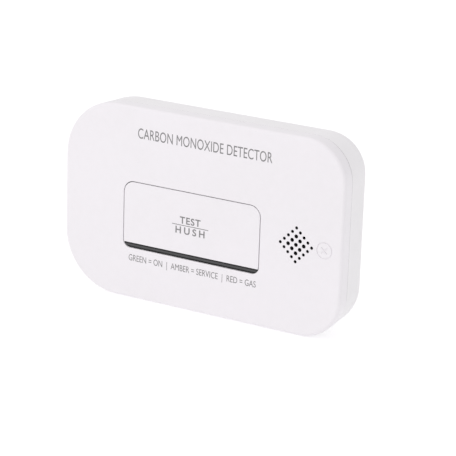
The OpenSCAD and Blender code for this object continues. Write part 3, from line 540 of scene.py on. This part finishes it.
def makeFinishes():
    families = (
        (mouldedPlastic, plasticLooks), (clearPlastic, clearLooks), (platedMetal, metalLooks),
        (firedCeramic, ceramicLooks), (softCloth, clothLooks),
        (smokedPlastic, {"smoked_plastic": smokedLook}), (circuitBoard, {"circuit_board": boardLook}),
        (cellWrap, {"cell_wrap": cellLook}), (labelPaper, {"label_paper": labelLook}),
        (printInk, {"print_ink": inkLook}))
    return {name: make(name, look) for make, looks in families for name, look in looks.items()}


def makeMesh(name, points, faces, material, body, smooth=True):
    # points in metres in the object's frame, the object at the origin
    mesh = bpy.data.meshes.new(name)
    mesh.from_pydata(np.asarray(points).tolist(), [], faces)
    mesh.validate()
    return placeMesh(name, mesh, material, body, smooth)


def placeMesh(name, mesh, material, body, smooth):
    mesh.materials.clear()
    mesh.materials.append(material)
    mesh.shade_smooth() if smooth else mesh.shade_flat()
    piece = bpy.data.objects.new(name, mesh)
    bpy.context.scene.collection.objects.link(piece)
    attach(piece, body)
    return piece


def tubeAlong(path, axis, radius, sides):
    # S(u, v) = path(u) + radius * (cos v * side(u) + sin v * over(u)), with a point closing each end
    ahead = np.gradient(path, axis=0)
    ahead /= np.linalg.norm(ahead, axis=1, keepdims=True)
    side = np.cross(ahead, axis)
    side /= np.linalg.norm(side, axis=1, keepdims=True)
    over = np.cross(side, ahead)
    angle = np.linspace(0, 2 * np.pi, sides, endpoint=False)
    ring = np.cos(angle)[None, :, None] * side[:, None] + np.sin(angle)[None, :, None] * over[:, None]
    points = (path[:, None] + radius * ring).reshape(-1, 3)
    k, s = np.meshgrid(np.arange(len(path) - 1), np.arange(sides), indexing="ij")
    here, after = k * sides + s, k * sides + (s + 1) % sides
    quads = np.stack([here, here + sides, after + sides, after], -1).reshape(-1, 4).tolist()
    s, n = np.arange(sides), (np.arange(sides) + 1) % sides
    last = (len(path) - 1) * sides
    ends = np.stack([np.full(sides, len(points)), s, n], -1).tolist()
    ends += np.stack([np.full(sides, len(points) + 1), last + n, last + s], -1).tolist()
    points = np.vstack([points, path[:1], path[-1:]])
    return points, quads + ends


springLook = {"wide": 4.2, "narrow": 2.6, "turns": 3.6, "flatTurns": 0.6, "wire": 0.34,
              "gap": 0.04, "plate": 0.4, "sides": 10, "steps": 40}  # sides and steps of a turn


def addSprings(look, finishes):
    # conical coils: path(t) = middle + radius(t) * (cos, sin) of 2 pi t, t in turns, with radius
    # going evenly from wide to narrow; the height rises evenly between the flat turns at both ends
    points, faces = [], []
    topPlate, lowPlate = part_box("bridge_contact"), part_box("negative_contact")
    seats = [("cell_left", lowPlate[1].z, 1), ("cell_right", topPlate[1].z - look["plate"] * mm, -1)]
    for cell, start, up in seats:
        low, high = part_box(cell)
        middle = (low + high) / 2
        end = low.z if up > 0 else high.z
        turns = np.linspace(0, look["turns"], int(look["turns"] * look["steps"]) + 1)
        rise = (turns - look["flatTurns"]) / (look["turns"] - 2 * look["flatTurns"])
        lift = (look["gap"] + look["wire"]) * mm
        height = lift + (abs(end - start) - 2 * lift) * np.clip(rise, 0, 1)
        taper = (look["narrow"] - look["wide"]) * turns / look["turns"]
        radius = (look["wide"] + taper) * mm
        path = np.stack([middle.x + radius * np.cos(2 * np.pi * turns),
                         middle.y + radius * np.sin(2 * np.pi * turns) * up,
                         start + up * height], 1)
        made, quads = tubeAlong(path, np.array([0, 0, 1.0]), look["wire"] * mm, look["sides"])
        faces += [[corner + len(points) for corner in quad] for quad in quads]
        points += made.tolist()
    piece = makeMesh("springWires", points, faces, finishes["contact_metal"], "alarm")
    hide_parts("battery_springs")


windingLook = {"wire": 0.13, "spacing": 2.1, "flange": 1.0, "core": 3.2, "sides": 6, "steps": 24}


def addWinding(look, finishes):
    # one layer of wire on the coil former, turns spacing wire radii apart: a helix about its axis
    low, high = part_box("sounder_coil")
    middle = (low + high) / 2
    room = (high.y - low.y) / mm - 2 * look["flange"] - 2 * look["wire"]
    turns = int(room / (look["spacing"] * look["wire"]))
    t = np.linspace(0, 1, turns * look["steps"] + 1)
    radius = (look["core"] + look["wire"]) * mm
    angle = 2 * np.pi * turns * t
    path = np.stack([middle.x + radius * np.cos(angle),
                     low.y + (look["flange"] + look["wire"] + room * t) * mm,
                     middle.z + radius * np.sin(angle)], 1)
    points, faces = tubeAlong(path, np.array([0, 1.0, 0]), look["wire"] * mm, look["sides"])
    piece = makeMesh("coilWire", points, faces, finishes["copper_winding"], "alarm")


printLook = {"sunk": 0.01, "proud": 0.02, "extrude": 0.5, "curveSteps": 5}
printedLines = {  # left and right ends, lower and upper edges, in mm from the middle of the face
    "titleLine": {"words": "CARBON MONOXIDE DETECTOR",
                  "spread": (-27.6, 29.9), "rise": (25.9, 29.9), "body": "alarm", "gap": 1.02},
    "keyLine": {"words": "GREEN = ON  |  AMBER = SERVICE  |  RED = GAS",
                "spread": (-30.7, 25.0), "rise": (-23.7, -20.4), "body": "alarm", "gap": 1.0},
    "testLine": {"words": "TEST", "spread": (-8.4, 0.6), "rise": (-4.0, -1.2),
                 "body": "button", "gap": 1.15, "bold": 0.02},
    "hushLine": {"words": "HUSH", "spread": (-10.2, 2.5), "rise": (-8.0, -5.2),
                 "body": "button", "gap": 1.5, "bold": 0.02},
}
ruleLook = {"spread": (-11.8, 4.0), "level": -4.62, "thick": 0.28, "corners": 48}
faceMiddle = np.array([faceCentre[0], faceY, faceCentre[2]])


def addPrintedLine(name, look, finishes):
    # letters as thin plates: their outline's x and y become X and Z, stretched to spread and rise,
    # and their thickness stands on the face, from sunk below it to proud of it
    curve = bpy.data.curves.new(name, "FONT")
    curve.body, curve.space_character = look["words"], look["gap"]
    curve.extrude, curve.resolution_u = printLook["extrude"], printLook["curveSteps"]
    curve.offset = look.get("bold", 0.0)
    outline = bpy.data.objects.new(name + "Outline", curve)
    bpy.context.scene.collection.objects.link(outline)
    bpy.context.view_layer.update()
    shaped = outline.evaluated_get(bpy.context.evaluated_depsgraph_get())
    mesh = bpy.data.meshes.new_from_object(shaped)
    bpy.data.objects.remove(outline)
    flat = np.empty(len(mesh.vertices) * 3, np.float32)
    mesh.vertices.foreach_get("co", flat)
    flat = flat.reshape(-1, 3).astype(float)
    low, high = flat.min(0), flat.max(0)
    share = (flat - low) / (high - low)
    (left, right), (bottom, top) = look["spread"], look["rise"]
    thickness = printLook["sunk"] + printLook["proud"]
    placed = np.stack([left + (right - left) * share[:, 0],
                       printLook["sunk"] - thickness * share[:, 2],
                       bottom + (top - bottom) * share[:, 1]], 1) * mm
    placed += faceMiddle
    mesh.vertices.foreach_set("co", placed.astype(np.float32).ravel())
    mesh.update()
    mesh.name = name
    placeMesh(name, mesh, finishes["print_ink"], look["body"], smooth=False)


def addRule(look, finishes):
    # a thin plate with rounded ends: two half circles, moved apart by the straight length
    left, right = look["spread"]
    corners = look["corners"]
    angle = np.linspace(0, 2 * np.pi, corners, endpoint=False)
    half, thick = (right - left) / 2, look["thick"] / 2
    x = np.sign(np.cos(angle)) * (half - thick) + thick * np.cos(angle)
    z = thick * np.sin(angle)
    rings = [np.stack([left + half + x, np.full_like(x, level), look["level"] + z], 1)
             for level in (printLook["sunk"], -printLook["proud"])]
    points = np.vstack(rings) * mm + faceMiddle
    here, after = np.arange(corners), (np.arange(corners) + 1) % corners
    faces = np.stack([here, after, after + corners, here + corners], -1).tolist()
    faces += [list(range(corners - 1, -1, -1)), list(range(corners, 2 * corners))]
    makeMesh("printedRule", points, faces, finishes["print_ink"], "button", smooth=False)


def addFloor(look):
    # one flat sheet just below the case
    half, level = look["floor"], cadBox[0][2] - look["drop"]
    corners = [(-half, -half, level), (half, -half, level), (half, half, level), (-half, half, level)]
    mesh = bpy.data.meshes.new("floor")
    mesh.from_pydata(corners, [], [(0, 1, 2, 3)])
    bench = Bench("floorPaint")
    cloud = bench.noise(look["cloud"], 2, 0.5)
    shaded = tuple(look["cloudShade"] * c for c in look["floorColour"])
    colour = bench.blend(look["floorColour"], shaded, cloud)
    mesh.materials.append(bench.finish({
        "Base Color": colour, "Roughness": look["floorRoughness"],
        "Emission Color": (1.0, 1.0, 1.0), "Emission Strength": look["floorGlow"]}))
    floor = bpy.data.objects.new("floor", mesh)
    bpy.context.scene.collection.objects.link(floor)


def addSky(look):
    world = bpy.data.worlds.new("softSky")
    world.use_nodes = True
    background = world.node_tree.nodes["Background"]
    background.inputs["Color"].default_value = (*look["skyColour"], 1)
    background.inputs["Strength"].default_value = look["skyStrength"]
    bpy.context.scene.world = world


addCamera(camera)
addSky(studio)
addFloor(studio)
for lampName, lampLook in lamps.items():
    addLamp(lampName, lampLook)
bpy.context.scene.view_settings.view_transform = "Standard"
print("studio ready")

finishes = makeFinishes()
for part in frame["record"]["subparts"]:
    node = frame["nodes"][part["node"]]
    node.data.materials.clear()
    node.data.materials.append(finishes[part["material_slot"]])
print("finishes ready:", len(finishes))

for lineName, lineLook in printedLines.items():
    addPrintedLine(lineName, lineLook, finishes)
addRule(ruleLook, finishes)
addSprings(springLook, finishes)
addWinding(windingLook, finishes)
print("new pieces ready")
